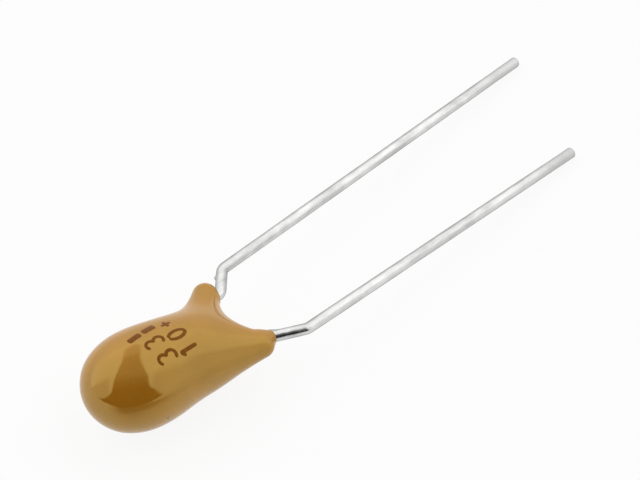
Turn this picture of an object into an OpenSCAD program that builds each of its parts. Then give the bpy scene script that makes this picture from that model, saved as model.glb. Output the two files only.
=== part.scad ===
// Resin dipped tantalum bead capacitor with two kinked radial leads.
// It is designed standing: z = 0 is the board face the lower kink sits on, the crown
// is up, the leads hang down, the anode is at +x and the printed face at -y.
// lying() then lays it down as it comes to rest: on the bead and both lead tips.

/* [Resin bead] */
// radius of the crown ball of the bead
crown_r = 2.09; // [2.05:0.01:2.2]
// height of the crown ball's centre above the board
crown_z = 7.17; // [7.1:0.01:7.4]
// sideways shift of the crown ball to the anode side
crown_x = 0.36; // [0.25:0.01:0.4]
// radius of the waist ball of the bead
waist_r = 1.2; // [1.1:0.05:1.6]
// height of the waist ball's centre above the board
waist_z = 5.8; // [5.5:0.05:6]
// sideways shift of the waist ball to the anode side
waist_x = 0.08; // [0:0.02:0.2]
// thickness of the bead front to back as a share of its width
bead_flat = 0.93; // [0.9:0.01:1]
// shift of the bead behind the plane of the leads
bead_back = 0.12; // [0:0.01:0.2]

/* [Resin horns] */
// distance of the anode horn's end ball from the middle
anode_horn_x = 1.88; // [1.8:0.02:2]
// height of the anode horn's end ball above the board
anode_horn_z = 1.78; // [1.7:0.02:1.9]
// radius of the anode horn's end ball
anode_horn_r = 0.5; // [0.46:0.01:0.58]
// distance of the anode horn's root ball from the middle
anode_root_x = 0; // [0:0.02:0.2]
// height of the anode horn's root ball above the board
anode_root_z = 4; // [3.9:0.05:4.2]
// radius of the anode horn's root ball
anode_root_r = 0.5; // [0.48:0.01:0.7]
// distance of the cathode horn's end ball from the middle
cathode_horn_x = 1.91; // [1.83:0.02:1.99]
// height of the cathode horn's end ball above the board
cathode_horn_z = 1.96; // [1.86:0.02:2.04]
// radius of the cathode horn's end ball
cathode_horn_r = 0.46; // [0.42:0.01:0.55]
// distance of the cathode horn's root ball from the middle
cathode_root_x = 0; // [0:0.02:0.2]
// height of the cathode horn's root ball above the board
cathode_root_z = 5.2; // [5:0.05:5.4]
// radius of the cathode horn's root ball
cathode_root_r = 1.12; // [1.05:0.01:1.25]
// width of the smooth blend between the two horns, which forms the saddle
saddle_blend = 3.4; // [3:0.1:3.8]
// width of the smooth blend between the horns and the bead
shoulder_blend = 2.24; // [2:0.02:2.6]
// thickness of the resin skin where it ends on a wire
skin_t = 0.04; // [0.03:0.005:0.06]
// height above the board at which the skin on the anode wire ends
anode_skin_z = 1.75; // [1.65:0.05:1.85]
// height above the board at which the skin on the cathode wire ends
cathode_skin_z = 1.45; // [1.35:0.05:1.55]
// length of wire over which the skin thins out
skin_length = 0.35; // [0.25:0.05:0.45]
// extra thickness of the skin where it leaves the horn
skin_root_t = 0.06; // [0.04:0.01:0.1]
// width of the smooth blend from a horn to the skin on its wire
skin_blend = 0.3; // [0.2:0.05:0.4]
// triangles' columns around the coat
coat_columns = 64; // [48:4:72]
// triangles' rows from the saddle to the crown
coat_rows = 46; // [36:2:50]

/* [Anode pellet] */
// diameter of the sintered tantalum pellet
pellet_d = 2.44; // [2.2:0.02:2.5]
// height of the pellet
pellet_h = 3.4; // [3:0.1:3.6]
// height of the pellet's lower face above the board
pellet_z = 4.7; // [4.6:0.05:4.9]
// sideways shift of the pellet to the anode side
pellet_x = 0.3; // [0.25:0.05:0.4]
// radius of the pellet's edges
pellet_edge = 0.15; // [0.1:0.01:0.25]

/* [Riser wire and washer] */
// diameter of the tantalum riser wire
riser_d = 0.3; // [0.25:0.01:0.35]
// depth of the riser wire inside the pellet
riser_depth = 2.2; // [1.5:0.1:2.6]
// length of the riser wire below the pellet
riser_free = 1.5; // [1.3:0.05:1.6]
// diameter of the insulating washer on the riser wire
washer_d = 1.4; // [1.1:0.05:1.5]
// thickness of the insulating washer
washer_t = 0.25; // [0.2:0.01:0.3]

/* [Layers on the pellet] */
// thickness of the manganese dioxide layer
manganese_t = 0.06; // [0.05:0.005:0.07]
// thickness of the graphite layer
graphite_t = 0.05; // [0.04:0.005:0.06]
// thickness of the silver layer
silver_t = 0.05; // [0.04:0.005:0.06]

/* [Solder] */
// thickness of the solder around the cathode lead
solder_skin = 0.1; // [0.07:0.01:0.14]
// gap between the silver and the cathode lead, filled with solder
solder_gap = 0.04; // [0.03:0.01:0.07]
// height of the solder's middle above the pellet's lower face
solder_up = 0.95; // [0.85:0.05:1.1]
// radius of the ball that rounds the ends of the solder fillet
solder_ball = 0.95; // [0.85:0.05:1]
// shift of that ball's centre from the cathode lead towards the pellet
solder_shift = 0.2; // [0.1:0.05:0.3]
// angle round the silver that the solder fillet covers to each side
solder_angle = 30; // [25:1:36]

/* [Leads] */
// diameter of the lead wire
wire_d = 0.5; // [0.46:0.01:0.54]
// distance between the leads at the board
lead_pitch = 5; // [4.8:0.05:5.2]
// angle each lead leans outward below the board
lead_splay = 1.6; // [0:0.1:2.5]
// length of the anode lead below the board
anode_length = 18.8; // [14:0.2:20]
// length of the cathode lead below the board
cathode_length = 16; // [12:0.2:18]
// distance of the anode lead from the middle where it leaves the resin
anode_neck_x = 1.5; // [1.4:0.05:1.6]
// height above the board at which the anode lead starts to lean out
anode_kink_h = 1.25; // [1.15:0.05:1.35]
// height above the board at which the anode lead has leant out
anode_bend_z = 0.26; // [0:0.02:0.4]
// height above the board at which the cathode lead starts to lean out
cathode_kink_h = 2.3; // [2.1:0.05:2.5]
// radius of the bends along the wire's middle
bend_r = 0.5; // [0.4:0.02:0.55]
// height above the board at which the anode lead starts to lean in
jog_low_z = 2.3; // [2.2:0.05:2.4]
// height above the board at which the anode lead has met the riser wire
jog_high_z = 3.15; // [3.1:0.05:3.2]
// length over which the anode lead lies along the riser wire
weld_length = 0.9; // [0.7:0.05:1]
// depth to which the weld has pressed the two wires together
weld_sink = 0.05; // [0.03:0.01:0.07]
// length of the cathode lead soldered along the pellet
cathode_lap = 1.5; // [1.2:0.05:1.7]

/* [Hidden] */
$fn = 64;
resin_c = [0.74, 0.53, 0.24];
tantalum_c = [0.36, 0.36, 0.4];
ptfe_c = [0.93, 0.93, 0.9];
manganese_c = [0.14, 0.11, 0.1];
graphite_c = [0.22, 0.22, 0.24];
silver_c = [0.8, 0.8, 0.78];
solder_c = [0.7, 0.71, 0.73];
tin_c = [0.78, 0.79, 0.81];

wire_r = wire_d / 2;
riser_r = riser_d / 2;
half_pitch = lead_pitch / 2;
silver_r = pellet_d / 2 + manganese_t + graphite_t + silver_t;
riser_low_z = pellet_z - riser_free;
cathode_neck_x = pellet_x - silver_r - solder_gap - wire_r;
weld_x = pellet_x + riser_r + wire_r - weld_sink;
solder_z = pellet_z + solder_up;

// ---- the wires' middle lines, as [x, z] points from the inner end to the tip
anode_line = [
    [weld_x, jog_high_z + weld_length],
    [weld_x, jog_high_z],
    [anode_neck_x, jog_low_z],
    [anode_neck_x, anode_kink_h],
    [half_pitch - anode_bend_z * tan(lead_splay), anode_bend_z],
    [half_pitch + anode_length * sin(lead_splay), -anode_length * cos(lead_splay)]
];
cathode_line = [
    [cathode_neck_x, pellet_z + cathode_lap],
    [cathode_neck_x, cathode_kink_h],
    [-half_pitch, 0],
    [-half_pitch - cathode_length * sin(lead_splay), -cathode_length * cos(lead_splay)]
];

function fine(v) = round(v * 10000) / 10000;
function heading(a, b) = atan2(b[1] - a[1], b[0] - a[0]);
function turn(p, i) = i < 1 || i > len(p) - 2 ? 0 : let (
    t = fine(heading(p[i], p[i + 1]) - heading(p[i - 1], p[i]))
) t > 180 ? t - 360 : t < -180 ? t + 360 : t;
function inset(p, i) = bend_r * tan(abs(turn(p, i)) / 2);
function span(p, i) = fine(norm(p[i + 1] - p[i]) - inset(p, i) - inset(p, i + 1));

// piece of a ring, from the origin up and over to -x
module bend(angle) {
    translate([-bend_r, 0, 0])
        rotate([90, 0, 0])
            rotate_extrude(angle = angle)
                translate([bend_r, 0])
                    circle(r = wire_r);
}

// moves to the end of such a bend
module past_bend(angle) {
    translate([-bend_r, 0, 0])
        rotate([0, -angle, 0])
            translate([bend_r, 0, 0])
                children();
}

// the wire from point i on, each piece placed from the end of the one before
// and turned about the wire so that it always bends to its own -x
module wire_from(p, i, side) {
    cylinder(h = span(p, i), r = wire_r);
    if (i < len(p) - 2) {
        next = turn(p, i + 1) > 0 ? 1 : -1;
        translate([0, 0, span(p, i)])
            rotate([0, 0, next == side ? 0 : 180]) {
                bend(abs(turn(p, i + 1)));
                past_bend(abs(turn(p, i + 1)))
                    wire_from(p, i + 1, next);
            }
    }
}

// whole wire; its first run goes straight down from its first point
module wire(p) {
    translate([p[0][0], 0, p[0][1]])
        rotate([0, 180, 0])
            wire_from(p, 0, 1);
}

// ---- the coat's surface: distance functions joined by a smooth minimum
// distance from q to the hull of two balls, at a and b
function ball_pair(q, a, b, ra, rb) = let (
    ba = b - a,
    l2 = ba * ba,
    rr = ra - rb,
    a2 = l2 - rr * rr,
    pa = q - a,
    y = pa * ba,
    z = y - l2,
    side = pa * l2 - ba * y,
    x2 = side * side,
    y2 = y * y * l2,
    z2 = z * z * l2,
    k = sign(rr) * rr * rr * x2
) sign(z) * a2 * z2 > k ? sqrt(x2 + z2) / l2 - rb
    : sign(y) * a2 * y2 < k ? sqrt(x2 + y2) / l2 - ra
    : (sqrt(x2 * a2 / l2) + y * rr) / l2 - ra;

function smooth_min(a, b, k) = let (h = max(k - abs(a - b), 0)) min(a, b) - h * h / (4 * k);

// point at a height on a wire's middle line, between its points i and i + 1
function on_line(p, i, z) = let (
    s = (z - p[i][1]) / (p[i + 1][1] - p[i][1])
) [p[i][0] + s * (p[i + 1][0] - p[i][0]), 0, z];

anode_skin_at = anode_skin_z > anode_kink_h ? on_line(anode_line, 2, anode_skin_z)
    : on_line(anode_line, 3, anode_skin_z);
cathode_skin_at = on_line(cathode_line, 1, cathode_skin_z);
anode_skin_from = on_line(anode_line, 2, anode_skin_z + skin_length);
cathode_skin_from = on_line(cathode_line, 1, cathode_skin_z + skin_length);
skin_r = wire_r + skin_t;
skin_root_r = skin_r + skin_root_t;

function coat_distance(q) = let (
    flat = [q[0], (q[1] - bead_back) / bead_flat, q[2]],
    bead = ball_pair(flat, [crown_x, 0, crown_z], [waist_x, 0, waist_z], crown_r, waist_r),
    anode_horn = ball_pair(q,
        [anode_root_x, bead_back, anode_root_z], [anode_horn_x, 0, anode_horn_z],
        anode_root_r, anode_horn_r),
    cathode_horn = ball_pair(q,
        [-cathode_root_x, bead_back, cathode_root_z], [-cathode_horn_x, 0, cathode_horn_z],
        cathode_root_r, cathode_horn_r),
    anode_skin = ball_pair(q, anode_skin_from, anode_skin_at, skin_root_r, skin_r),
    cathode_skin = ball_pair(q, cathode_skin_from, cathode_skin_at, skin_root_r, skin_r),
    body = smooth_min(bead, smooth_min(anode_horn, cathode_horn, saddle_blend), shoulder_blend)
) smooth_min(smooth_min(body, anode_skin, skin_blend), cathode_skin, skin_blend);

// each point is found on a ray from the coat's heart by halving
heart = [waist_x, bead_back, (waist_z + anode_root_z) / 2];
farthest = crown_z + crown_r;
function reach(way, low, high, n) = n == 0 ? (low + high) / 2
    : let (mid = (low + high) / 2)
        coat_distance(heart + way * mid) < 0 ? reach(way, mid, high, n - 1)
        : reach(way, low, mid, n - 1);
function ray(tilt, round) = [sin(tilt) * cos(round), sin(tilt) * sin(round), -cos(tilt)];
function surface_point(way) = heart + way * reach(way, 0, farthest, 21);

// rows lie close together over the horns, columns close together at them
row_even = 0.72;
column_bunch = 17;
function row_tilt(s) = 180 * (row_even * s + (1 - row_even) * s * s * s);
function column_round(t) = t - column_bunch * sin(2 * t);
coat_points = concat(
    [surface_point([0, 0, -1])],
    [for (i = [1:coat_rows - 1], j = [0:coat_columns - 1])
        surface_point(ray(row_tilt(i / coat_rows), column_round(360 * j / coat_columns)))],
    [surface_point([0, 0, 1])]
);
function at(i, j) = 1 + (i - 1) * coat_columns + (j % coat_columns);
crown_point = 1 + (coat_rows - 1) * coat_columns;
coat_faces = concat(
    [for (j = [0:coat_columns - 1]) [0, at(1, j), at(1, j + 1)]],
    [for (i = [1:coat_rows - 2], j = [0:coat_columns - 1]) [at(i, j), at(i + 1, j), at(i, j + 1)]],
    [for (i = [1:coat_rows - 2], j = [0:coat_columns - 1])
        [at(i, j + 1), at(i + 1, j), at(i + 1, j + 1)]],
    [for (j = [0:coat_columns - 1]) [at(coat_rows - 1, j), crown_point, at(coat_rows - 1, j + 1)]]
);

// ---- how it comes to rest: pitch and roll that put the bead and both tips down
function laid(q) = [-q[2], q[0], -q[1]];
laid_coat = [for (q = coat_points) laid(q)];
function last(p) = p[len(p) - 1];
anode_tip = laid([last(anode_line)[0], 0, last(anode_line)[1]]);
cathode_tip = laid([last(cathode_line)[0], 0, last(cathode_line)[1]]);
function up_of(p, r) = [-sin(p), cos(p) * sin(r), cos(p) * cos(r)];
function roll_of(p) =
    asin(tan(p) * (anode_tip[0] - cathode_tip[0]) / (anode_tip[1] - cathode_tip[1]));
function coat_low(up) = min([for (q = laid_coat) q * up]);
function tip_low(tip, up, lean) = let (
    along = up * [cos(lean), sin(lean), 0]
) tip * up - wire_r * sqrt(1 - along * along);
function rest_gap(p) = let (up = up_of(p, roll_of(p)))
    coat_low(up) - tip_low(anode_tip, up, lead_splay);
function rest_pitch(p, n) = n == 0 ? p
    : rest_pitch(p - rest_gap(p) / (anode_tip[0] + crown_z) * 180 / PI, n - 1);
pitch = rest_pitch(4, 5);
roll = roll_of(pitch);
up = up_of(pitch, roll);
lift = -min(coat_low(up), tip_low(anode_tip, up, lead_splay),
    tip_low(cathode_tip, up, -lead_splay));

// middle of the lying part's box, which becomes x = 0 and y = 0
along_x = [cos(pitch), sin(pitch) * sin(roll), sin(pitch) * cos(roll)];
along_y = [0, cos(roll), -sin(roll)];
function tip_reach(tip, lean, way) = let (
    along = way * [cos(lean), sin(lean), 0]
) tip * way + wire_r * sqrt(1 - along * along);
far_x = tip_reach(anode_tip, lead_splay, along_x);
near_x = min([for (q = laid_coat) q * along_x]);
left_y = max(tip_reach(anode_tip, lead_splay, along_y), max([for (q = laid_coat) q * along_y]));
right_y = min(-tip_reach(cathode_tip, -lead_splay, -along_y),
    min([for (q = laid_coat) q * along_y]));

module lying() {
    translate([-(far_x + near_x) / 2, -(left_y + right_y) / 2, lift])
        rotate([0, pitch, 0])
            rotate([roll, 0, 0])
                multmatrix([[0, 0, -1, 0], [1, 0, 0, 0], [0, -1, 0, 0]])
                    children();
}

// ---- solids in the standing frame
// pellet with rounded edges, grown by t on every side
module grown_pellet(t) {
    e = pellet_edge + t;
    r = pellet_d / 2 + t;
    h = pellet_h + 2 * t;
    translate([pellet_x, 0, pellet_z - t])
        rotate_extrude()
            union() {
                square([r - e, h]);
                translate([0, e])
                    square([r, h - 2 * e]);
                intersection() {
                    union() {
                        translate([r - e, e])
                            circle(r = e);
                        translate([r - e, h - e])
                            circle(r = e);
                    }
                    square([r, h]);
                }
            }
}

module riser_solid() {
    translate([pellet_x, 0, riser_low_z])
        cylinder(h = riser_free + riser_depth, r = riser_r);
}

module washer_disc() {
    translate([pellet_x, 0, pellet_z - washer_t])
        cylinder(h = washer_t, d = washer_d);
}

// one coating layer between two growths of the pellet, open under the washer
module layer(inner_t, outer_t) {
    difference() {
        grown_pellet(outer_t);
        grown_pellet(inner_t);
        translate([pellet_x, 0, pellet_z - washer_t])
            cylinder(h = washer_t + pellet_edge, d = washer_d);
    }
}

module solder_outline() {
    difference() {
        union() {
            translate([cathode_neck_x, 0])
                circle(r = wire_r + solder_skin);
            polygon([
                [cathode_neck_x, wire_r + solder_skin],
                [cathode_neck_x, -wire_r - solder_skin],
                [pellet_x - silver_r * cos(solder_angle), -silver_r * sin(solder_angle)],
                [pellet_x, 0],
                [pellet_x - silver_r * cos(solder_angle), silver_r * sin(solder_angle)]
            ]);
        }
        translate([pellet_x, 0])
            circle(r = silver_r);
    }
}

module solder_solid() {
    intersection() {
        translate([0, 0, solder_z - solder_ball])
            linear_extrude(2 * solder_ball)
                solder_outline();
        translate([cathode_neck_x + solder_shift, 0, solder_z])
            sphere(r = solder_ball);
    }
}

// ---- the sub-parts
module resin_coat() {
    color(resin_c)
        lying()
            difference() {
                polyhedron(points = coat_points, faces = coat_faces);
                grown_pellet(manganese_t + graphite_t + silver_t);
                riser_solid();
                washer_disc();
                solder_solid();
                wire(anode_line);
                wire(cathode_line);
            }
}

module anode_pellet() {
    color(tantalum_c)
        lying()
            difference() {
                grown_pellet(0);
                riser_solid();
            }
}

module riser_wire() {
    color(tantalum_c)
        lying()
            riser_solid();
}

module insulating_washer() {
    color(ptfe_c)
        lying()
            difference() {
                washer_disc();
                riser_solid();
            }
}

module manganese_dioxide() {
    color(manganese_c)
        lying()
            layer(0, manganese_t);
}

module graphite() {
    color(graphite_c)
        lying()
            layer(manganese_t, manganese_t + graphite_t);
}

module silver() {
    color(silver_c)
        lying()
            layer(manganese_t + graphite_t, manganese_t + graphite_t + silver_t);
}

module solder() {
    color(solder_c)
        lying()
            difference() {
                solder_solid();
                wire(cathode_line);
            }
}

module anode_lead() {
    color(tin_c)
        lying()
            difference() {
                wire(anode_line);
                riser_solid();
            }
}

module cathode_lead() {
    color(tin_c)
        lying()
            wire(cathode_line);
}

resin_coat();
anode_pellet();
riser_wire();
insulating_washer();
manganese_dioxide();
graphite();
silver();
solder();
anode_lead();
cathode_lead();
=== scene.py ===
"""Looks of a resin dipped tantalum bead capacitor: its glossy coat, tinned leads, ink marking and inner layers."""

import math

import bpy
import numpy as np
from bpy.props import FloatProperty, FloatVectorProperty, IntProperty, PointerProperty
from mathutils import Matrix, Vector


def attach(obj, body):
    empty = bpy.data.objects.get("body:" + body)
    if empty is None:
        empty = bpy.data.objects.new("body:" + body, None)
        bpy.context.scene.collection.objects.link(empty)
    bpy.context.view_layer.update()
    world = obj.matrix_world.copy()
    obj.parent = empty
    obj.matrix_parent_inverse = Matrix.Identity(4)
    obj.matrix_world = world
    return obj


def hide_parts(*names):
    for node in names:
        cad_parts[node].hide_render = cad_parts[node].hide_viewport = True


bl_info = {
    "name": "Dipped Tantalum Bead",
    "version": (1, 0, 0),
    "blender": (4, 5, 0),
    "location": "View3D > Sidebar > Tantalum Bead",
    "description": "Builds the coat, leads, marking and layers of a dipped tantalum bead capacitor",
    "category": "Object",
}

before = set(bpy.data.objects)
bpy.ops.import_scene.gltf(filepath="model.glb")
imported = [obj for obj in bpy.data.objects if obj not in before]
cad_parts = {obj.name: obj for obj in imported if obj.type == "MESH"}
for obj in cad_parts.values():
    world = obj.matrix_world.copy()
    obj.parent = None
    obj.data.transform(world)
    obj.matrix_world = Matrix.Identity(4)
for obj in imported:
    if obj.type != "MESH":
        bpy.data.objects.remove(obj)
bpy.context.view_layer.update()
MM = 0.001

# How the part lies: it is shaped standing on the board plane, crown up and anode at +x, and then laid down on its bead
# and both lead tips, with the middle of its reach over the origin.
PITCH = math.radians(4.64475)
ROLL = math.radians(2.18229)
LIFT = 1.65618
REACH_X = (-9.23863, 18.7614)
REACH_Y = (-3.19451, 3.27264)
SHIFT_X = -(REACH_X[0] + REACH_X[1]) / 2
SHIFT_Y = -(REACH_Y[0] + REACH_Y[1]) / 2

# Shape of the coat in the standing frame, in millimetres: how far the bead's middle is behind the plane of the leads,
# and the places and radii of its balls.
BEAD_BACK = 0.12
CROWN, WAIST = (0.36, 0, 7.17), (0.08, 0, 5.8)
ANODE_ROOT, ANODE_HORN = (0, BEAD_BACK, 4.0), (1.88, 0, 1.78)
ANODE_HORN_R = 0.5
CATHODE_ROOT, CATHODE_HORN = (0, BEAD_BACK, 5.2), (-1.91, 0, 1.96)
CATHODE_ROOT_R, CATHODE_HORN_R = 1.12, 0.46

# The thin skins where the wires leave the resin: the heights they run between, how much wider they begin than they end,
# and how widely they blend into the horns.
ANODE_SKIN = (2.1, 1.75)
CATHODE_SKIN = (1.8, 1.45)
SKIN_TAPER = 0.06
SKIN_BLEND = 0.3

FARTHEST = 9.3  # no point of the coat is farther from its heart
DEEPEST = 3.0  # the bead's front is nowhere farther from its middle plane
BOX_CLEARANCE = 0.004  # keeps the visible coat inside the CAD model's box

# The leads in the standing frame, in millimetres: the wire's radius, half the pitch at the board plane, and their
# corners, where a neck is a sideways place and the others are heights.
WIRE_R = 0.25
HALF_PITCH = 2.5
ANODE_TOP = ((0.65, 4.05), (0.65, 3.15))
ANODE_NECK, ANODE_JOG, ANODE_KNEE, ANODE_FOOT = 1.5, 2.3, 1.25, 0.26
CATHODE_NECK, CATHODE_TOP, CATHODE_KINK = -1.37, 6.2, 2.3


def lie_down(points):
    """Standing frame in millimetres to the row frame in metres: (x, y, z) goes to (-z, x, -y), rolls about x, pitches
    about y, then shifts."""
    p = np.asarray(points, float)
    x, y, z = -p[..., 2], p[..., 0], -p[..., 1]
    y, z = math.cos(ROLL) * y - math.sin(ROLL) * z, math.sin(ROLL) * y + math.cos(ROLL) * z
    x, z = x * math.cos(PITCH) + z * math.sin(PITCH), z * math.cos(PITCH) - x * math.sin(PITCH)
    return np.stack([x + SHIFT_X, y + SHIFT_Y, z + LIFT], -1) * MM


# ---------------------------------------------------------------- settings


class CoatSettings(bpy.types.PropertyGroup):
    """Sizes of the resin coat."""

    crown_radius: FloatProperty(
        name="Crown radius", description="Radius of the bead's crown", default=2.09e-3, unit="LENGTH", precision=5
    )
    waist_radius: FloatProperty(
        name="Waist radius",
        description="Radius of the ball in the bead's waist",
        default=1.2e-3,
        unit="LENGTH",
        precision=5,
    )
    flatness: FloatProperty(
        name="Flatness",
        description="Thickness front to back as a share of the width",
        default=0.93,
        min=0.8,
        max=1.0,
    )
    saddle_blend: FloatProperty(
        name="Saddle blend",
        description="Width of the blend between the horns",
        default=3.4e-3,
        unit="LENGTH",
        precision=5,
    )
    shoulder_blend: FloatProperty(
        name="Shoulder blend",
        description="Width of the blend from horns to bead",
        default=2.24e-3,
        unit="LENGTH",
        precision=5,
    )
    skin: FloatProperty(
        name="Skin",
        description="Thickness of the resin skin where it ends on a wire",
        default=0.04e-3,
        unit="LENGTH",
        precision=6,
    )
    sag: FloatProperty(
        name="Sag",
        description="Depth of the slow unevenness that dipping leaves",
        default=0.008e-3,
        unit="LENGTH",
        precision=6,
    )
    columns: IntProperty(name="Columns", description="Faces around the coat", default=340, min=48, max=400)
    rows: IntProperty(name="Rows", description="Faces from saddle to crown", default=260, min=36, max=300)
    resin: FloatVectorProperty(
        name="Resin", description="Colour of the epoxy", subtype="COLOR", size=3, default=(0.45, 0.178, 0.0105)
    )
    deep_resin: FloatVectorProperty(
        name="Deep resin",
        description="Colour where the epoxy is thick",
        subtype="COLOR",
        size=3,
        default=(0.37, 0.142, 0.0075),
    )


class LeadSettings(bpy.types.PropertyGroup):
    """Sizes of the tinned leads."""

    wire: FloatProperty(name="Wire", description="Diameter of the wire", default=0.5e-3, unit="LENGTH", precision=5)
    bend: FloatProperty(
        name="Bend radius",
        description="Radius of the bends along the wire's middle",
        default=0.5e-3,
        unit="LENGTH",
        precision=5,
    )
    pitch: FloatProperty(
        name="Pitch", description="Distance between the leads at the board", default=5e-3, unit="LENGTH", precision=5
    )
    splay: FloatProperty(
        name="Splay", description="Angle each lead leans outward", default=math.radians(1.6), subtype="ANGLE"
    )
    anode: FloatProperty(
        name="Anode length",
        description="Length of the anode lead below the board plane",
        default=18.8e-3,
        unit="LENGTH",
        precision=5,
    )
    cathode: FloatProperty(
        name="Cathode length",
        description="Length of the cathode lead below the board plane",
        default=16e-3,
        unit="LENGTH",
        precision=5,
    )
    tin: FloatVectorProperty(
        name="Tin", description="Colour of the tinned wire", subtype="COLOR", size=3, default=(0.72, 0.72, 0.71)
    )


class MarkingSettings(bpy.types.PropertyGroup):
    """Sizes of the ink marking."""

    height: FloatProperty(
        name="Height", description="Height of a figure", default=0.84e-3, unit="LENGTH", precision=5
    )
    stroke: FloatProperty(name="Stroke", description="Width of a stroke", default=0.15e-3, unit="LENGTH", precision=5)
    stripe: FloatProperty(
        name="Stripe", description="Width of the polarity stripe", default=0.34e-3, unit="LENGTH", precision=5
    )
    film: FloatProperty(name="Film", description="Thickness of the ink", default=0.006e-3, unit="LENGTH", precision=6)
    ink: FloatVectorProperty(
        name="Ink", description="Colour of the ink", subtype="COLOR", size=3, default=(0.168, 0.045, 0.002)
    )


class StageSettings(bpy.types.PropertyGroup):
    """Colour of the floor and brightness of the light tent."""

    floor: FloatVectorProperty(
        name="Floor", description="Colour of the floor", subtype="COLOR", size=3, default=(0.9, 0.9, 0.9)
    )
    walls: FloatProperty(
        name="Walls", description="Brightness of the light tent's walls", default=1.42, min=0.0, max=4.0
    )
    gap: FloatProperty(
        name="Gap", description="Brightness of the far end of the open gap", default=0.9, min=0.0, max=2.0
    )


# ---------------------------------------------------------------- mesh helpers


def closed_mesh(name, pieces):
    """One mesh of closed skins. Each piece is a grid of points whose rows are rings, and a point that a fan closes each
    end with. The faces are turned round where a piece's volume comes out negative."""
    points, quads, fans, count = [], [], [], 0
    for grid, first, last in pieces:
        rows, cols = grid.shape[:2]
        i, j = np.meshgrid(np.arange(rows - 1), np.arange(cols), indexing="ij")
        k = (j + 1) % cols
        quad = np.stack([i * cols + j, i * cols + k, (i + 1) * cols + k, (i + 1) * cols + j], -1).reshape(-1, 4)
        ring = np.arange(cols)
        after = (ring + 1) % cols
        low = np.stack([after, ring, np.full(cols, rows * cols)], -1)
        top = (rows - 1) * cols
        high = np.stack([top + ring, top + after, np.full(cols, rows * cols + 1)], -1)
        fan = np.vstack([low, high])
        p = np.vstack([grid.reshape(-1, 3), [first, last]])
        corner = p[np.vstack([quad[:, :3], quad[:, [0, 2, 3]], fan])] - p.mean(0)
        if np.einsum("ij,ij->", corner[:, 0], np.cross(corner[:, 1], corner[:, 2])) < 0:
            quad, fan = quad[:, ::-1], fan[:, ::-1]
        points.append(p)
        quads.append(quad + count)
        fans.append(fan + count)
        count += len(p)
    quads, fans = np.vstack(quads), np.vstack(fans)
    mesh = bpy.data.meshes.new(name)
    mesh.vertices.add(count)
    mesh.vertices.foreach_set("co", np.vstack(points).astype(np.float32).ravel())
    mesh.loops.add(quads.size + fans.size)
    mesh.loops.foreach_set("vertex_index", np.concatenate([quads.ravel(), fans.ravel()]).astype(np.int32))
    sizes = np.repeat([4, 3], [len(quads), len(fans)])
    mesh.polygons.add(len(sizes))
    mesh.polygons.foreach_set("loop_start", np.concatenate([[0], np.cumsum(sizes)[:-1]]).astype(np.int32))
    mesh.polygons.foreach_set("use_smooth", np.ones(len(sizes), bool))
    mesh.update(calc_edges=True)
    return mesh


def link_object(name, data):
    """Adds an object that holds some data to the scene, at the origin."""
    obj = bpy.data.objects.new(name, data)
    bpy.context.scene.collection.objects.link(obj)
    return obj


def place(name, mesh, material, nodes=()):
    """Links a finished mesh as a piece that rides on the part and stands for some CAD nodes."""
    obj = link_object(name, mesh)
    mesh.materials.append(material)
    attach(obj, "root")
    if nodes:
        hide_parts(*nodes)


# ---------------------------------------------------------------- shape of the coat


def ball_pair(q, a, b, ra, rb):
    """Distance from q to the hull of a ball of radius ra at a and one of radius rb at b: the distance to the cone that
    touches both where q projects onto it, and otherwise to the nearer ball."""
    a, b = np.asarray(a, float), np.asarray(b, float)
    ba = b - a
    l2 = ba @ ba
    rr = ra - rb
    a2 = l2 - rr * rr
    pa = q - a
    y = pa @ ba
    z = y - l2
    side = pa * l2 - y[..., None] * ba
    x2 = (side * side).sum(-1)
    y2, z2 = y * y * l2, z * z * l2
    k = np.sign(rr) * rr * rr * x2
    cone = (np.sqrt(x2 * a2 / l2) + y * rr) / l2 - ra
    near_a = np.sqrt(x2 + y2) / l2 - ra
    near_b = np.sqrt(x2 + z2) / l2 - rb
    return np.where(np.sign(z) * a2 * z2 > k, near_b, np.where(np.sign(y) * a2 * y2 < k, near_a, cone))


def smooth_min(a, b, k):
    """The smaller of two distances, less h squared over 4 k, where h is how much less than k they differ by."""
    h = np.maximum(k - np.abs(a - b), 0)
    return np.minimum(a, b) - h * h / (4 * k)


def last_inside(inside, shape, high, halvings):
    """How far along each line inside(far) holds: the span from 0 to high is halved over and over, and the half in which
    it changes is kept."""
    low, high = np.zeros(shape), np.full(shape, high)
    for _ in range(halvings):
        mid = (low + high) / 2
        hit = inside(mid)
        low, high = np.where(hit, mid, low), np.where(hit, high, mid)
    return (low + high) / 2


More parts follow.
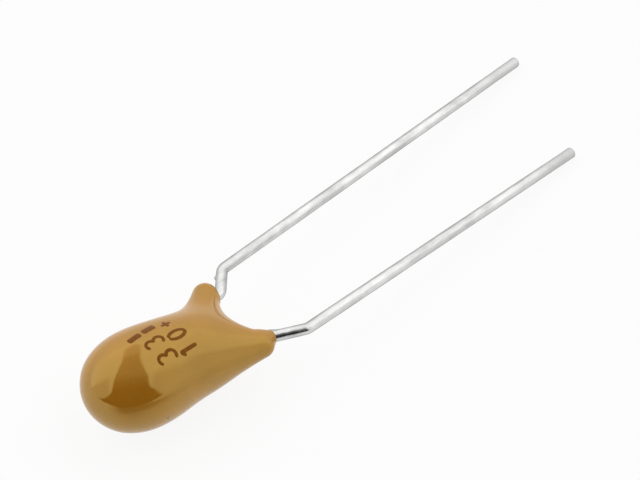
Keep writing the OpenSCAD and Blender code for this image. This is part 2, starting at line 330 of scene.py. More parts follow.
class CoatShape:
    """The coat as one distance: the bead, a hull of two balls squashed front to back, blended with two horns that are
    hulls of a root ball deep in the bead and an end ball, and with a thin skin along each wire. Millimetres, standing
    frame."""

    def __init__(self, s):
        """Takes the settings over in millimetres. The heart is at the waist, halfway down to the anode horn's root."""
        self.crown_r = s.crown_radius / MM
        self.waist_r = s.waist_radius / MM
        self.flat = s.flatness
        self.saddle = s.saddle_blend / MM
        self.shoulder = s.shoulder_blend / MM
        self.skin = s.skin / MM
        self.sag = s.sag / MM
        self.inset = self.sag + BOX_CLEARANCE
        self.heart = np.array([WAIST[0], BEAD_BACK, (WAIST[2] + ANODE_ROOT[2]) / 2])

    def distance(self, q):
        """Distance to the coat, negative inside: smooth minimums of the bead, both horns and both skins."""
        flat = (q - [0, BEAD_BACK, 0]) * [1, 1 / self.flat, 1]
        bead = ball_pair(flat, CROWN, WAIST, self.crown_r, self.waist_r)
        anode = ball_pair(q, ANODE_ROOT, ANODE_HORN, ANODE_HORN_R, ANODE_HORN_R)
        cathode = ball_pair(q, CATHODE_ROOT, CATHODE_HORN, CATHODE_ROOT_R, CATHODE_HORN_R)
        body = smooth_min(bead, smooth_min(anode, cathode, self.saddle), self.shoulder)
        end_r = WIRE_R + self.skin
        root_r = end_r + SKIN_TAPER
        anode_skin = [(ANODE_NECK, 0, z) for z in ANODE_SKIN]
        cathode_skin = [self.cathode_wire(z) for z in CATHODE_SKIN]
        body = smooth_min(body, ball_pair(q, *anode_skin, root_r, end_r), SKIN_BLEND)
        return smooth_min(body, ball_pair(q, *cathode_skin, root_r, end_r), SKIN_BLEND)

    @staticmethod
    def cathode_wire(z):
        """Point of the cathode lead's leaning run at a height z, on the line from the board plane to the kink."""
        s = z / CATHODE_KINK
        return (-HALF_PITCH + s * (HALF_PITCH + CATHODE_NECK), 0, z)

    def unevenness(self, q):
        """Slow waves of the resin's surface: three crossed sines of about 1.5 to 3 mm, over the sum of their weights,
        times the sag."""
        x, y, z = q[..., 0], q[..., 1], q[..., 2]
        wave = np.sin(2.1 * x + 1.3 * z + 0.4) * np.sin(1.7 * y - 0.9 * z)
        wave = wave + 0.6 * np.sin(3.3 * z + 1.1 * x) * np.sin(2.6 * x - 1.9 * y + 1.0)
        wave = wave + 0.35 * np.sin(4.4 * y + 2.9 * z + 2.0)
        return self.sag * wave / 1.95

    def reach(self, way):
        """Distance from the heart to the surface along each unit direction."""
        return last_inside(
            lambda far: self.distance(self.heart + way * far[..., None]) < 0, way.shape[:-1], FARTHEST, halvings=34
        )

    def on_ray(self, way):
        """Surface point along each direction, set in along the ray by the inset and the resin's unevenness."""
        point = self.heart + way * self.reach(way)[..., None]
        return point - way * (self.inset + self.unevenness(point))[..., None]

    def front(self, x, z):
        """Surface point in front of each place in the plane of the leads, found from the bead's middle toward -y."""
        start = np.stack([x, np.full(x.shape, BEAD_BACK), z], -1)
        depth = last_inside(
            lambda far: self.distance(start - far[..., None] * [0, 1, 0]) < 0, x.shape, DEEPEST, halvings=30
        )
        return start - depth[..., None] * [0, 1, 0]

    def normal(self, q):
        """Unit gradient of the distance, by central differences over a thousandth of a millimetre."""
        e = 1e-3
        g = np.stack([self.distance(q + e * np.eye(3)[k]) - self.distance(q - e * np.eye(3)[k]) for k in range(3)], -1)
        return g / np.linalg.norm(g, axis=-1, keepdims=True)


def ray_grid(rows, cols):
    """Directions from the heart. The tilt goes from the saddle (0) to the crown (180 degrees) by 0.72 of the row's
    share and 0.28 of its cube, so it grows slowly at first. The columns crowd together over the two horns: each turns
    back by 17 degrees times the sine of twice its turn."""
    s = np.arange(1, rows)[:, None] / rows
    tilt = np.pi * (0.72 * s + 0.28 * s**3)
    t = 2 * np.pi * np.arange(cols)[None, :] / cols
    turn = t - math.radians(17) * np.sin(2 * t)
    tilt, turn = np.broadcast_arrays(tilt, turn)
    return np.stack([np.sin(tilt) * np.cos(turn), np.sin(tilt) * np.sin(turn), -np.cos(tilt)], -1)


# ---------------------------------------------------------------- node helpers


class Nodes:
    """Short way to build the nodes of a material or a world."""

    def __init__(self, owner, output="ShaderNodeOutputMaterial"):
        """Clears the owner's nodes and adds its output and a source of coordinates."""
        owner.use_nodes = True
        self.owner = owner
        self.tree = owner.node_tree
        self.tree.nodes.clear()
        self.out = self.new(output)
        self.coord = self.new("ShaderNodeTexCoord")

    def new(self, kind, **settings):
        """Adds a node and sets its properties and, by socket name, its inputs."""
        node = self.tree.nodes.new(kind)
        for key, value in settings.items():
            if hasattr(node, key):
                setattr(node, key, value)
            else:
                node.inputs[key.replace("_", " ")].default_value = value
        return node

    def link(self, a, b):
        """Links an output to an input."""
        self.tree.links.new(a, b)

    def noise(self, scale, detail=3.0, rough=0.5, stretch=(1, 1, 1)):
        """Noise on the piece's own place, with its scale in features per metre, stretched along the axes."""
        mapping = self.new("ShaderNodeMapping", Scale=stretch)
        self.link(self.coord.outputs["Object"], mapping.inputs["Vector"])
        node = self.new("ShaderNodeTexNoise", Scale=scale, Detail=detail, Roughness=rough)
        self.link(mapping.outputs["Vector"], node.inputs["Vector"])
        return node.outputs["Fac"]

    def ramp(self, source, *stops):
        """Colour ramp with (place, colour) stops."""
        node = self.new("ShaderNodeValToRGB")
        elements = node.color_ramp.elements
        while len(elements) < len(stops):
            elements.new(0.5)
        for element, (place_at, colour) in zip(elements, stops):
            element.position = place_at
            element.color = (*colour, 1)
        self.link(source, node.inputs["Fac"])
        return node.outputs["Color"]

    def grey_ramp(self, source, stops, full=1.0, lift=0.0):
        """Grey ramp with (place, value) stops: places run from 0 to full, and lift is added to every value."""
        return self.ramp(source, *[(place_at / full, (value + lift,) * 3) for place_at, value in stops])

    def span(self, source, low, high, out_low, out_high):
        """Maps a range of numbers onto another, clamped."""
        node = self.new("ShaderNodeMapRange", From_Min=low, From_Max=high, To_Min=out_low, To_Max=out_high)
        self.link(source, node.inputs["Value"])
        return node.outputs["Result"]

    def math(self, operation, a, b):
        """One arithmetic step on sockets or numbers."""
        node = self.new("ShaderNodeMath", operation=operation)
        for socket, value in zip(node.inputs, (a, b)):
            if isinstance(value, (int, float)):
                socket.default_value = value
            else:
                self.link(value, socket)
        return node.outputs[0]

    def weighed(self, a, weight_a, b, weight_b):
        """Sum of two numbers with their weights."""
        return self.math("ADD", self.math("MULTIPLY", a, weight_a), self.math("MULTIPLY", b, weight_b))

    def vector(self, operation, source, constant=None):
        """One step of vector arithmetic on a socket and, where it takes one, a constant."""
        node = self.new("ShaderNodeVectorMath", operation=operation)
        self.link(source, node.inputs[0])
        if constant is not None:
            node.inputs[1].default_value = constant
        gives_number = operation in ("DISTANCE", "DOT_PRODUCT", "LENGTH")
        return node.outputs["Value" if gives_number else "Vector"]

    def blend(self, factor, a, b):
        """Mixes two colours by a factor."""
        node = self.new("ShaderNodeMix", data_type="RGBA")
        for name, value in (("Factor", factor), ("A", a), ("B", b)):
            socket = [s for s in node.inputs if s.name == name and s.enabled][0]
            if isinstance(value, tuple):
                socket.default_value = (*value, 1)
            else:
                self.link(value, socket)
        return [s for s in node.outputs if s.enabled][0]

    def tinted(self, colour, factor):
        """Multiplies a colour by a number or a grey."""
        node = self.new("ShaderNodeVectorMath", operation="SCALE")
        self.link(colour, node.inputs[0])
        if isinstance(factor, float):
            node.inputs["Scale"].default_value = factor
        else:
            self.link(factor, node.inputs["Scale"])
        return node.outputs[0]

    def bump(self, height, strength, distance):
        """Bump from a height, with its depth in metres."""
        node = self.new("ShaderNodeBump", Strength=strength, Distance=distance)
        self.link(height, node.inputs["Height"])
        return node.outputs["Normal"]

    def shader(self, colour, roughness, normal=None, **constants):
        """Principled shader joined to the output, with its colour, roughness and normal linked, and with constants set
        on its own sockets."""
        node = self.new("ShaderNodeBsdfPrincipled", **constants)
        self.link(colour, node.inputs["Base Color"])
        self.link(roughness, node.inputs["Roughness"])
        if normal is not None:
            self.link(normal, node.inputs["Normal"])
        self.link(node.outputs["BSDF"], self.out.inputs["Surface"])


# ---------------------------------------------------------------- materials

# Dark specks in the resin: place in the standing frame and radius, then the width of their soft edge, in millimetres.
RESIN_SPECKS = (((-1.82, 0.48, 7.11), 0.07), ((1.2, 1.3, 8.3), 0.035), ((1.55, -0.36, 1.62), 0.045))
SPECK_EDGE = 0.025
SPECK_COLOUR = (0.03, 0.014, 0.004)

# Shares of the tin's colour in its dark streaks and at the dull tips, and the distances from a tip, in metres, between
# which the dullness fades.
DARK_TIN, DULL_TIN = 0.62, 0.86
DULL_FADE = (0.0017, 0.0031)

THIN_INK = (0.245, 0.078, 0.003)  # colour of the ink where it is thin

# Finishes of the inner pieces, by CAD node: material, dark and light tone, grains per metre and span of roughness, then
# how metallic, how deep the bump and how the grains stretch, where these aren't the usual.
LAYERS = {
    "anode_pellet": ("sintered_tantalum", (0.1, 0.1, 0.115), (0.2, 0.2, 0.22), 24000, (0.55, 0.8), 0.7),
    "riser_wire": ("drawn_tantalum", (0.2, 0.2, 0.22), (0.36, 0.36, 0.4), 9000, (0.25, 0.4), 1.0, 3e-6, (0.05, 1, 1)),
    "insulating_washer": ("white_ptfe", (0.74, 0.74, 0.7), (0.86, 0.86, 0.83), 7000, (0.45, 0.6)),
    "manganese_dioxide": ("manganese_dioxide", (0.012, 0.009, 0.008), (0.035, 0.026, 0.022), 15000, (0.7, 0.95)),
    "graphite": ("graphite", (0.03, 0.03, 0.033), (0.07, 0.07, 0.075), 11000, (0.4, 0.6), 0.3),
    "silver": ("silver_paint", (0.5, 0.5, 0.47), (0.74, 0.73, 0.7), 13000, (0.3, 0.5), 0.9),
    "solder": ("solder", (0.45, 0.46, 0.47), (0.68, 0.69, 0.7), 4000, (0.15, 0.35), 1.0),
}


def resin_material(s):
    """Glossy dipped epoxy: warm ochre with slow cloudy patches, a few dark specks and a hard, slightly wavy gloss."""
    n = Nodes(bpy.data.materials.new("ochre_epoxy"))
    cloud, grain = n.noise(420, 3, 0.55), n.noise(5200, 4, 0.6)
    colour = n.ramp(n.weighed(cloud, 0.85, grain, 0.15), (0.3, tuple(s.deep_resin)), (0.68, tuple(s.resin)))
    for centre, radius in RESIN_SPECKS:
        far = n.vector("DISTANCE", n.coord.outputs["Object"], tuple(lie_down(centre)))
        ragged = n.math("ADD", far, n.math("MULTIPLY", n.noise(20000, 2), 4e-5))
        speck = n.span(ragged, radius * MM, (radius + SPECK_EDGE) * MM, 0.85, 0.0)
        colour = n.blend(speck, colour, SPECK_COLOUR)
    gloss = n.span(n.noise(1500, 2, 0.5), 0.35, 0.7, 0.035, 0.075)
    waves = n.bump(n.noise(900, 2, 0.4), 0.25, 4e-6)
    n.shader(colour, gloss, waves, IOR=1.7, Specular_IOR_Level=1.0, Specular_Tint=(1.0, 0.87, 0.32, 1.0))
    return n.owner


def tin_material(s, tips):
    """Bright tinned wire: pale metal with fine streaks along the wire, dull patches and small dips in the tin. Its last
    millimetres before each tip are dull."""
    n = Nodes(bpy.data.materials.new("bright_tin"))
    streak, patch = n.noise(3000, 3, 0.6, (0.2, 1, 1)), n.noise(900, 3, 0.6)
    dark = tuple(c * DARK_TIN for c in s.tin)
    colour = n.ramp(n.weighed(streak, 0.6, patch, 0.4), (0.32, dark), (0.6, tuple(s.tin)))
    gloss = n.span(patch, 0.35, 0.7, 0.12, 0.26)
    for tip in tips:
        dull = n.span(n.vector("DISTANCE", n.coord.outputs["Object"], tip), *DULL_FADE, 1.0, 0.0)
        colour = n.blend(dull, colour, tuple(c * DULL_TIN for c in s.tin))
        gloss = n.math("ADD", gloss, n.math("MULTIPLY", dull, 0.3))
    n.shader(colour, gloss, n.bump(streak, 0.5, 14e-6), Metallic=1.0, IOR=1.5, Specular_Tint=(0.42, 0.42, 0.43, 1.0))
    return n.owner


def ink_material(s):
    """Stamped ink: reddish brown, thinner in places so the resin's tone comes through, with a soft sheen."""
    n = Nodes(bpy.data.materials.new("brown_ink"))
    thin = n.noise(6500, 4, 0.65)
    colour = n.ramp(thin, (0.38, tuple(s.ink)), (0.72, THIN_INK))
    gloss = n.span(thin, 0.3, 0.7, 0.3, 0.5)
    n.shader(colour, gloss, IOR=1.5, Specular_IOR_Level=0.3, Specular_Tint=(1.0, 0.75, 0.2, 1.0))
    return n.owner


def layer_material(name, low, high, scale, rough, metal=0.0, depth=8e-6, stretch=(1, 1, 1)):
    """An inner layer: two tones mixed by grains of one size, with matching roughness and bump."""
    n = Nodes(bpy.data.materials.new(name))
    grain = n.noise(scale, 5, 0.65, stretch)
    tone = n.ramp(grain, (0.32, low), (0.68, high))
    n.shader(tone, n.span(grain, 0.3, 0.7, *rough), n.bump(grain, 0.6, depth), Metallic=metal, IOR=1.5)
    return n.owner


# ---------------------------------------------------------------- leads

# A rise of tin on each lead: its height above the board plane, how far it stands up and its length along the wire, in
# millimetres, and its width round the wire in radians.
ANODE_NIB = (0.62, 0.075, 0.06, 0.3)
CATHODE_MENISCUS = (1.5, 0.13, 0.3, 0.85)
CUT_EDGE = 0.09  # how far back a cut end rounds off
ANODE_PHASE, CATHODE_PHASE = 0.7, 2.1  # where the waves of the tin begin

# How finely a wire is drawn: millimetres between its rings, points in a ring and rings in a bend.
WIRE_STEP, WIRE_SIDES, BEND_RINGS = 0.05, 48, 14


def wire_line(corners, bend):
    """Middle line of a bent wire in its x, z plane, as points and unit directions: straight runs joined by arcs that
    touch them. An arc starts before its corner by the bend's radius times the tangent of half the turn."""
    points, ways = [], []
    here = np.array(corners[0], float)
    for k in range(1, len(corners)):
        way = np.subtract(corners[k], corners[k - 1]).astype(float)
        way /= np.linalg.norm(way)
        stop = np.array(corners[k], float)
        turn = 0.0
        if k < len(corners) - 1:
            after = np.subtract(corners[k + 1], corners[k]).astype(float)
            after /= np.linalg.norm(after)
            turn = math.atan2(way[0] * after[1] - way[1] * after[0], way @ after)
            stop = stop - way * bend * math.tan(abs(turn) / 2)
        count = max(2, int(np.linalg.norm(stop - here) / WIRE_STEP))
        s = np.linspace(0, 1, count, endpoint=False)[:, None]
        points.append(here + s * (stop - here))
        ways.append(np.repeat(way[None], count, 0))
        if turn:
            side = math.copysign(1, turn)
            out = side * np.array([-way[1], way[0]])
            middle = stop + bend * out
            a = np.linspace(0, abs(turn), BEND_RINGS, endpoint=False)[:, None]
            points.append(middle - bend * out * np.cos(a) + bend * way * np.sin(a))
            ways.append(way * np.cos(a) + out * np.sin(a))
            here = middle - bend * out * math.cos(turn) + bend * way * math.sin(abs(turn))
        else:
            points.append(stop[None])
            ways.append(way[None])
    return np.vstack(points), np.vstack(ways)


def tinned_wire(name, corners, radius, bend, phase, rise):
    """A round wire carried along its bent middle line. Its radius is the wire's less 1.5%, give or take 1.8% in slow
    waves of the tin along and round it, and its cut end rounds off. On the side toward +x there is a rise of tin, a
    bell both along the wire and round it."""
    line, way = wire_line(corners, bend)
    along = np.concatenate([[0], np.cumsum(np.linalg.norm(np.diff(line, axis=0), axis=1))])
    a = 2 * np.pi * np.arange(WIRE_SIDES) / WIRE_SIDES
    wave = 0.5 * np.sin(2.2 * along + phase) + 0.3 * np.sin(5.9 * along + 2 * phase) + 0.2 * np.sin(13.0 * along)
    r = radius * (0.985 + 0.012 * wave[:, None] + 0.006 * np.sin(2 * a[None] + 0.8 * along[:, None] + phase))
    at_height, height, length, width = rise
    near = np.exp(-(((line[:, 1] - at_height) / length) ** 2))[:, None]
    turned = (a[None] + np.pi) % (2 * np.pi) - np.pi
    r = r + height * near * np.exp(-((turned / width) ** 2))
    left = along[-1] - along
    lip = np.where(left < CUT_EDGE, np.sqrt(np.clip(1 - (1 - left / CUT_EDGE) ** 2, 0, 1)), 1.0)
    r = r - (1 - lip[:, None]) * CUT_EDGE * 0.8
    side = np.stack([-way[:, 1], np.zeros(len(way)), way[:, 0]], -1)
    back = np.array([0, 1, 0])
    middle = np.stack([line[:, 0], np.zeros(len(line)), line[:, 1]], -1)
    ring = middle[:, None] + r[..., None] * (np.cos(a)[None, :, None] * side[:, None] + np.sin(a)[None, :, None] * back)
    return closed_mesh(name, [(lie_down(ring), lie_down(middle[0]), lie_down(middle[-1]))])


# ---------------------------------------------------------------- marking


def arc(cx, cy, rx, ry, a0, a1):
    """Points of an elliptic arc between two angles in degrees."""
    a = np.radians(a0 + (a1 - a0) * np.linspace(0, 1, 13))
    return np.stack([cx + rx * np.cos(a), cy + ry * np.sin(a)], -1)


# Figures as open strokes, x to the right and y up, on a cell of height 1. The cell is then narrowed.
FIGURES = {
    "3": [np.vstack([arc(0.28, 0.75, 0.25, 0.24, 150, -80), arc(0.27, 0.27, 0.28, 0.26, 80, -150)])],
    "1": [np.array([[0.1, 0.78], [0.32, 1.0]]), np.array([[0.32, 1.0], [0.32, 0.0]])],
    "0": [arc(0.28, 0.5, 0.27, 0.49, 90, 450)],
    "+": [np.array([[0.0, 0.5], [0.56, 0.5]]), np.array([[0.28, 0.22], [0.28, 0.78]])],
}
NARROWING = 0.84

# Where the figures' lower left corners and the ends of the stripe's two parts are, in the plane of the leads in
# millimetres: x to the anode side, y to the crown.
CELLS = (("3", -1.04, 5.72), ("3", -0.27, 5.72), ("1", -1.2, 4.72), ("0", -0.44, 4.7), ("+", 0.3, 4.66))
STRIPE = (((0.7, 5.51), (0.7, 6.15)), ((0.68, 6.25), (0.66, 6.9)))
STROKE_END = 0.07  # longest arc that closes a stroke


def stroke_ribbon(points, width, film, steps=40, around=12):
    """A flat ribbon along a line of points: its section is an ellipse, width wide and two films thick, whose width
    closes at both ends in a short arc to a fifth of itself. Gives places in the plane and heights over it."""
    seg = np.linalg.norm(np.diff(points, axis=0), axis=1)
    along = np.concatenate([[0], np.cumsum(seg)])
    s = np.linspace(0, along[-1], steps)
    mid = np.stack([np.interp(s, along, points[:, k]) for k in (0, 1)], -1)
    way = np.gradient(mid, axis=0)
    way /= np.linalg.norm(way, axis=1, keepdims=True)
    out = np.stack([-way[:, 1], way[:, 0]], -1)
    reach = np.clip(np.minimum(s, along[-1] - s) / min(width / 2, STROKE_END), 0, 1)
    half = width / 2 * np.sqrt(np.clip(1 - (1 - reach) ** 2, 0.04, 1))
    b = 2 * np.pi * np.arange(around) / around
    place_at = mid[:, None] + out[:, None] * (half[:, None] * np.cos(b))[..., None]
    return place_at, film * np.broadcast_to(np.sin(b), place_at.shape[:2])


def marking_strokes(s):
    """Two rows of plain figures, a plus sign and a stripe in two parts, as lines with their widths in millimetres: a
    figure's cell is scaled to its height and moved to its corner."""
    h, w = s.height / MM, s.stroke / MM
    lines = [(line * [NARROWING * h, h] + [x, y], w) for figure, x, y in CELLS for line in FIGURES[figure]]
    return lines + [(np.array(line), s.stripe / MM) for line in STRIPE]


# ---------------------------------------------------------------- operators


class BuildCoat(bpy.types.Operator):
    """Build the dipped resin coat"""

    bl_idname = "tantalum_bead.coat"
    bl_label = "Resin Coat"

    def execute(self, context):
        """Surface of the blended balls on a grid of rays from the heart of the bead."""
        s = context.scene.bead_coat
        shape = CoatShape(s)
        grid = shape.on_ray(ray_grid(s.rows, s.columns))
        poles = shape.on_ray(np.array([[0.0, 0.0, -1.0], [0.0, 0.0, 1.0]]))
        mesh = closed_mesh("coat_skin", [(lie_down(grid), lie_down(poles[0]), lie_down(poles[1]))])
        place("dipped_coat", mesh, resin_material(s), ["resin_coat"])
        return {"FINISHED"}


class BuildLeads(bpy.types.Operator):
    """Build the two tinned leads"""

    bl_idname = "tantalum_bead.leads"
    bl_label = "Tinned Leads"

    def execute(self, context):
        """Round wires carried along the bent middle lines, which below the board plane lean outward by the splay."""
        s = context.scene.bead_leads
        half, r, bend = s.pitch / 2 / MM, s.wire / 2 / MM, s.bend / MM
        a, c = s.anode / MM, s.cathode / MM
        lean, down = math.sin(s.splay), math.cos(s.splay)
        foot = (half - ANODE_FOOT * math.tan(s.splay), ANODE_FOOT)
        anode_tip, cathode_tip = (half + a * lean, -a * down), (-half - c * lean, -c * down)
        anode = [*ANODE_TOP, (ANODE_NECK, ANODE_JOG), (ANODE_NECK, ANODE_KNEE), foot, anode_tip]
        cathode = [(CATHODE_NECK, CATHODE_TOP), (CATHODE_NECK, CATHODE_KINK), (-half, 0), cathode_tip]
        tin = tin_material(s, [tuple(lie_down((x, 0, z))) for x, z in (anode_tip, cathode_tip)])
        mesh = tinned_wire("anode_wire", anode, r, bend, ANODE_PHASE, ANODE_NIB)
        place("anode_wire", mesh, tin, ["anode_lead"])
        mesh = tinned_wire("cathode_wire", cathode, r, bend, CATHODE_PHASE, CATHODE_MENISCUS)
        place("cathode_wire", mesh, tin, ["cathode_lead"])
        return {"FINISHED"}


class BuildMarking(bpy.types.Operator):
    """Print the figures, plus sign and stripe on the coat"""

    bl_idname = "tantalum_bead.marking"
    bl_label = "Ink Marking"

    def execute(self, context):
        """Ribbons pressed straight onto the front of the coat, standing off it by the ink's thickness."""
        s = context.scene.bead_marking
        shape = CoatShape(context.scene.bead_coat)
        pieces = []
        for line, width in marking_strokes(s):
            flat, height = stroke_ribbon(line, width, s.film / MM)
            skin = shape.front(flat[..., 0], flat[..., 1])
            out = shape.normal(skin)
            grid = lie_down(skin + out * (height - shape.inset - shape.unevenness(skin))[..., None])
            pieces.append((grid, grid[0].mean(0), grid[-1].mean(0)))
        place("ink_marking", closed_mesh("marking", pieces), ink_material(s))
        return {"FINISHED"}


class FinishLayers(bpy.types.Operator):
    """Give the pellet and its layers their finishes"""

    bl_idname = "tantalum_bead.layers"
    bl_label = "Inner Layers"

    def execute(self, context):
        """One material for each inner piece."""
        for node, finish in LAYERS.items():
            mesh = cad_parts[node].data
            mesh.materials.clear()
            mesh.materials.append(layer_material(*finish))
        return {"FINISHED"}


# ---------------------------------------------------------------- stage

WHITE = (1.0, 1.0, 1.0)

# The camera: its place in millimetres, its right and up, its lens on its sensor, and its clipping in metres.
CAMERA_PLACE = (-42.01981, -50.07675, 70.17303)
CAMERA_RIGHT = (0.71544622, -0.69352193, -0.0846407)
CAMERA_UP = (0.54765287, 0.48144912, 0.68431212)
LENS, SENSOR = 124.04, 36
CLIP_START, CLIP_END = 0.005, 10

# Level directions that the floor and the tent are laid out by.
SIDEWAYS = (0.7193, -0.6947, 0)
FAR_SIDE = (0.6947, 0.7193, 0)
NEAR_SIDE = (-0.6947, -0.7193, 0)

# The floor: half its width and how far it is under the part, in metres, its share of plain white where it is seen, and
# the share of its colour in its darker patches.
FLOOR_HALF, FLOOR_DROP = 2.0, 2e-5
FLOOR_WHITE, FLOOR_PATCH = 0.9, 0.995

# How reflections of the floor's near side go dim: the place between the horns that ways are taken from, the distances
# between which the light drops, all in metres, and how much is lost in the end. Then the share of a way toward the near
# side between which this sets in, and the share sideways between which it fades out again.
DIM_CENTRE = (-0.0055, 0.0, 0.0)
DIM_DISTANCE, DIM_LOSS = (0.0065, 0.02), 0.85
DIM_NEAR, DIM_SIDEWAYS = (0.0, 0.3), (0.4, 0.7)

# The tent's gap, by the angle in degrees up from the far horizon and over the top: half its width, how far its middle
# is shifted against SIDEWAYS, and its brightness. A ramp holds no negative value, so the half widths go in lifted by
# GAP_LIFT, which is taken off again. GAP_EDGE is half the width of the gap's soft edge.
GAP_HALF = ((0, -0.2), (42, -0.1), (50, 0.11), (77, 0.195), (113, 0.475), (140, 0.56), (156, 0.7), (180, 0.85))
GAP_MIDDLE = ((50, 0.14), (77, 0.06), (113, 0.0), (150, 0.0), (180, 0.08))
GAP_LIGHT = ((48, 1.0), (64, 0.8), (72, 0.5), (106, 0.4), (116, 0.22), (135, 0.04), (180, 0.03))
GAP_LIFT = 0.2
GAP_EDGE = 0.03

# The tent's walls: brightness on the near half from one side to the other, the span in which the near half begins, and
# brightness up from the far horizon and over the top, all by shares of the whole way.
SIDE_LIGHT = ((0.15, 0.65), (0.25, 1.0), (0.75, 1.0), (0.83, 0.68), (1.0, 0.78))
NEAR_HALF = (0.53, 0.64)
LOW_LIGHT = ((0.0, 0.62), (0.1, 0.7), (0.2, 0.85), (0.26, 1.0))


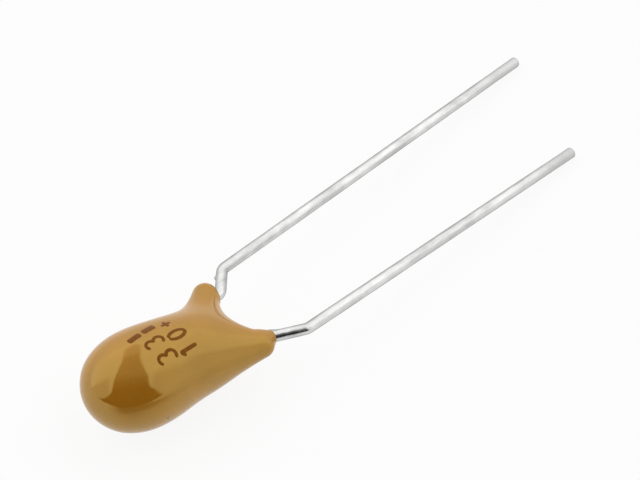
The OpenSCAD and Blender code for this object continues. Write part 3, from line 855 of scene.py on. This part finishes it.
class BuildStage(bpy.types.Operator):
    """Set up the floor, the lights and the camera"""

    bl_idname = "tantalum_bead.stage"
    bl_label = "Stage"

    def execute(self, context):
        """Pale floor, a light tent that is open over the near side, and the camera."""
        s = context.scene.bead_stage
        self.floor(s)
        self.tent(context, s)
        self.camera(context)
        context.scene.view_settings.view_transform = "Standard"
        return {"FINISHED"}

    @staticmethod
    def floor(s):
        """A flat sheet far wider than the part, just under it. The camera and reflections see it nearly white, with
        only a share of its shadows. Reflections see it go dim with the distance from a place between the horns, as if
        the gap's shade lay there: only toward the near side, and less the more the way from that place is sideways."""
        n = Nodes(bpy.data.materials.new("pale_floor"))
        matt = n.new("ShaderNodeBsdfDiffuse")
        darker = tuple(c * FLOOR_PATCH for c in s.floor)
        n.link(n.ramp(n.noise(60, 2, 0.5), (0.3, darker), (0.7, tuple(s.floor))), matt.inputs["Color"])
        way = n.vector("SUBTRACT", n.coord.outputs["Object"], DIM_CENTRE)
        unit = n.vector("NORMALIZE", way)
        across = n.span(n.math("ABSOLUTE", n.vector("DOT_PRODUCT", unit, SIDEWAYS), 0), *DIM_SIDEWAYS, 1.0, 0.0)
        front = n.math("MULTIPLY", across, n.span(n.vector("DOT_PRODUCT", unit, NEAR_SIDE), *DIM_NEAR, 0.0, 1.0))
        shade = n.span(n.vector("LENGTH", way), *DIM_DISTANCE, 0.0, DIM_LOSS)
        path = n.new("ShaderNodeLightPath")
        dim = n.math("MULTIPLY", n.math("MULTIPLY", front, shade), path.outputs["Is Glossy Ray"])
        white = n.new("ShaderNodeEmission")
        n.link(n.math("SUBTRACT", 1.0, dim), white.inputs["Strength"])
        seen = n.math("MAXIMUM", path.outputs["Is Camera Ray"], path.outputs["Is Glossy Ray"])
        seen = n.math("MAXIMUM", seen, path.outputs["Is Transmission Ray"])
        mix = n.new("ShaderNodeMixShader")
        n.link(n.math("MULTIPLY", seen, FLOOR_WHITE), mix.inputs[0])
        n.link(matt.outputs[0], mix.inputs[1])
        n.link(white.outputs[0], mix.inputs[2])
        n.link(mix.outputs[0], n.out.inputs["Surface"])
        corners = np.array([[-1, -1, 0], [1, -1, 0], [1, 1, 0], [-1, 1, 0]]) * FLOOR_HALF - [0, 0, FLOOR_DROP]
        mesh = bpy.data.meshes.new("floor")
        mesh.from_pydata(corners.tolist(), [], [(0, 1, 2, 3)])
        mesh.materials.append(n.owner)
        link_object("floor", mesh)

    @staticmethod
    def tent(context, s):
        """World: bright walls all round and a dark gap overhead. With t the angle up from the far horizon over the top
        and w the sideways part of a direction, the gap is where w lies within half a width of a middle line, both
        given along t by ramps. The camera sees plain white."""
        n = Nodes(bpy.data.worlds.new("light_tent"), "ShaderNodeOutputWorld")
        context.scene.world = n.owner
        way = n.coord.outputs["Generated"]
        w, up, far = [n.vector("DOT_PRODUCT", way, axis) for axis in (SIDEWAYS, (0, 0, 1), FAR_SIDE)]
        t = n.math("DIVIDE", n.math("ARCTAN2", up, far), math.pi)
        half = n.math("SUBTRACT", n.grey_ramp(t, GAP_HALF, 180, GAP_LIFT), GAP_LIFT)
        off = n.math("ABSOLUTE", n.math("ADD", w, n.grey_ramp(t, GAP_MIDDLE, 180)), 0)
        inside = n.span(n.math("SUBTRACT", off, half), -GAP_EDGE, GAP_EDGE, 1.0, 0.0)
        side = n.grey_ramp(n.span(w, -1, 1, 0, 1), SIDE_LIGHT)
        side = n.blend(n.span(t, *NEAR_HALF, 0.0, 1.0), WHITE, side)
        wall = n.tinted(n.tinted(side, s.walls), n.grey_ramp(t, LOW_LIGHT))
        light = n.blend(inside, wall, n.tinted(n.grey_ramp(t, GAP_LIGHT, 180), s.gap))
        path = n.new("ShaderNodeLightPath")
        back = n.new("ShaderNodeBackground")
        n.link(n.blend(path.outputs["Is Camera Ray"], light, WHITE), back.inputs["Color"])
        n.link(back.outputs[0], n.out.inputs["Surface"])

    @staticmethod
    def camera(context):
        """A long lens high up, on the crown's and the cathode lead's side, with a slight roll."""
        data = bpy.data.cameras.new("camera")
        data.lens = LENS
        data.sensor_width = SENSOR
        data.clip_start = CLIP_START
        data.clip_end = CLIP_END
        obj = link_object("camera", data)
        right, up = Vector(CAMERA_RIGHT), Vector(CAMERA_UP)
        turn = Matrix((right, up, right.cross(up))).transposed()
        obj.matrix_world = Matrix.Translation(Vector(CAMERA_PLACE) * MM) @ turn.to_4x4()
        context.scene.camera = obj


# ---------------------------------------------------------------- panel and registering

# What the panel lists: where the scene keeps each group of settings, its class and the operator that uses it.
GROUPS = (
    ("bead_coat", CoatSettings, BuildCoat),
    ("bead_leads", LeadSettings, BuildLeads),
    ("bead_marking", MarkingSettings, BuildMarking),
    ("bead_stage", StageSettings, BuildStage),
)


class BeadPanel(bpy.types.Panel):
    """Sidebar panel with the part's sizes and build steps."""

    bl_idname = "VIEW3D_PT_tantalum_bead"
    bl_label = "Tantalum Bead"
    bl_space_type = "VIEW_3D"
    bl_region_type = "UI"
    bl_category = "Tantalum Bead"

    def draw(self, context):
        """Lists each group of settings over its operator."""
        for group, kind, operator in GROUPS:
            box = self.layout.box()
            for name in kind.__annotations__:
                box.prop(getattr(context.scene, group), name)
            box.operator(operator.bl_idname)
        self.layout.operator(FinishLayers.bl_idname)


CLASSES = (
    CoatSettings,
    LeadSettings,
    MarkingSettings,
    StageSettings,
    BuildCoat,
    BuildLeads,
    BuildMarking,
    FinishLayers,
    BuildStage,
    BeadPanel,
)


def register():
    """Registers the classes and hangs the settings on the scene."""
    for cls in CLASSES:
        bpy.utils.register_class(cls)
    for group, kind, _ in GROUPS:
        setattr(bpy.types.Scene, group, PointerProperty(type=kind))


def unregister():
    """Takes the settings and classes away again."""
    for group, _, _ in GROUPS:
        delattr(bpy.types.Scene, group)
    for cls in reversed(CLASSES):
        bpy.utils.unregister_class(cls)


def main():
    """Builds every piece and the stage."""
    register()
    bpy.ops.tantalum_bead.coat()
    bpy.ops.tantalum_bead.leads()
    bpy.ops.tantalum_bead.marking()
    bpy.ops.tantalum_bead.layers()
    bpy.ops.tantalum_bead.stage()


if __name__ == "__main__":
    main()
